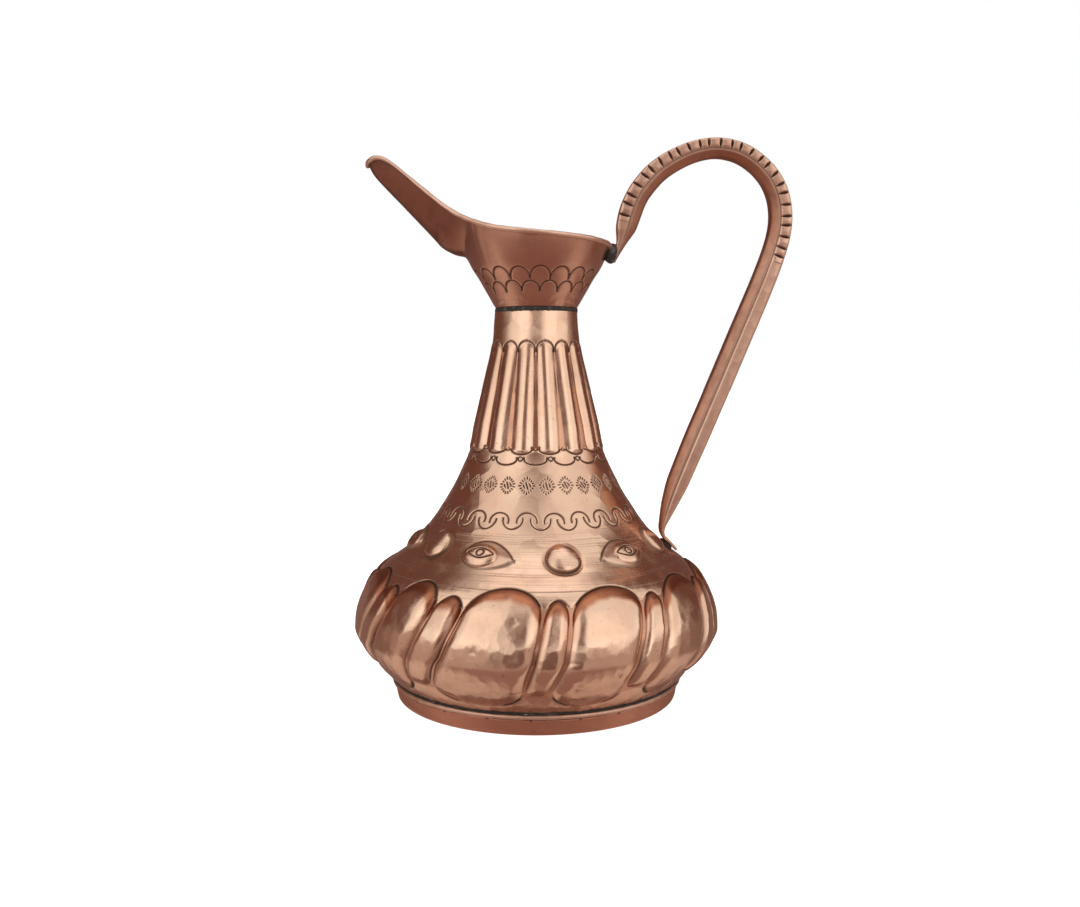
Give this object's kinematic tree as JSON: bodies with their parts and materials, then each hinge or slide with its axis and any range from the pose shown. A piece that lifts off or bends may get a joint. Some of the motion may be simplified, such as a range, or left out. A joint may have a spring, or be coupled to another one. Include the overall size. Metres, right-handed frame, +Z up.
{
  "type": "copper water jug",
  "caption": "Hammered copper ewer with a gadrooned belly on a foot ring, a narrow fluted neck, a funnel mouth drawn out into an open spout, and a tall looped strip handle.",
  "frame": {"origin": "middle of the bounding box, on the surface that the jug stands on", "axes": "+Z up along the vessel's axis, spout along -X, handle along +X, +Y across, away from the side that is seen in the picture"},
  "size_m": [0.2364, 0.1984, 0.3014],
  "materials": {
    "polished_copper": "hammered and polished copper, dark patina in the chased lines",
    "satin_copper": "satin copper, lightly tarnished",
    "foot_copper": "worn satin copper",
    "dark_solder": "dull dark grey soft solder"
  },
  "bodies": {
    "root": {"body_shell": "polished_copper", "base_disc": "foot_copper", "foot_ring": "foot_copper", "foot_bead_wire": "satin_copper", "foot_solder": "dark_solder", "neck_solder": "dark_solder", "mouth_and_spout": "satin_copper", "rim_wire": "satin_copper", "handle": "satin_copper", "handle_top_solder": "dark_solder", "handle_foot_solder": "dark_solder"}
  },
  "joints": []
}
